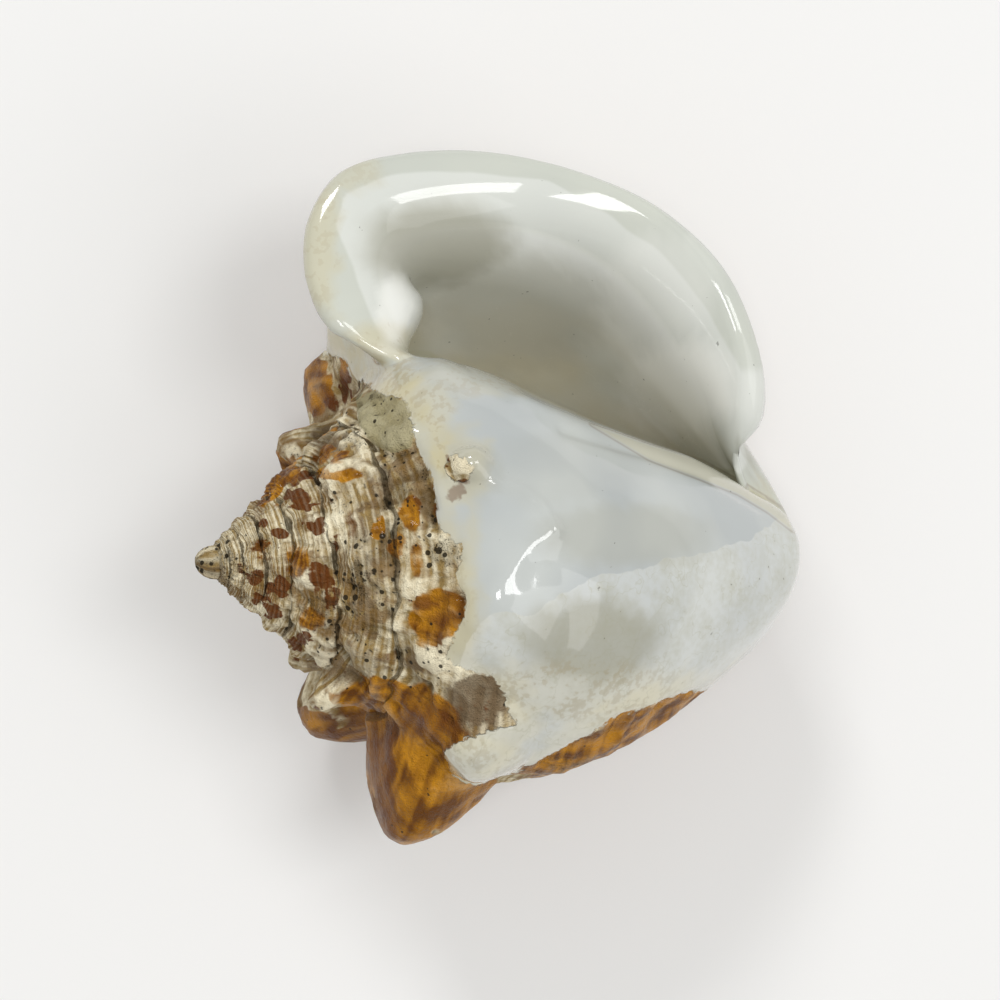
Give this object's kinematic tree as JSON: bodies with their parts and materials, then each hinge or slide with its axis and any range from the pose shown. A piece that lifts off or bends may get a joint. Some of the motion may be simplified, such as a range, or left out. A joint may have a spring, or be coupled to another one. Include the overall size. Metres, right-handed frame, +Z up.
{
  "type": "conch shell",
  "caption": "Large adult conch shell with a flared glossy lip, knobbed shoulder and worn pointed spire, lying on its back with the aperture up",
  "frame": {"origin": "middle of the bounding box's underside, on the surface that the shell rests on", "axes": "+X runs from the apex to the front end, +Y to the side that the lip leans over, +Z up out of the aperture"},
  "size_m": [0.1648, 0.1814, 0.1262],
  "materials": {
    "shell": "glossy glaze over worn, pitted shell"
  },
  "bodies": {
    "root": {"conch_shell": "shell"}
  },
  "joints": []
}
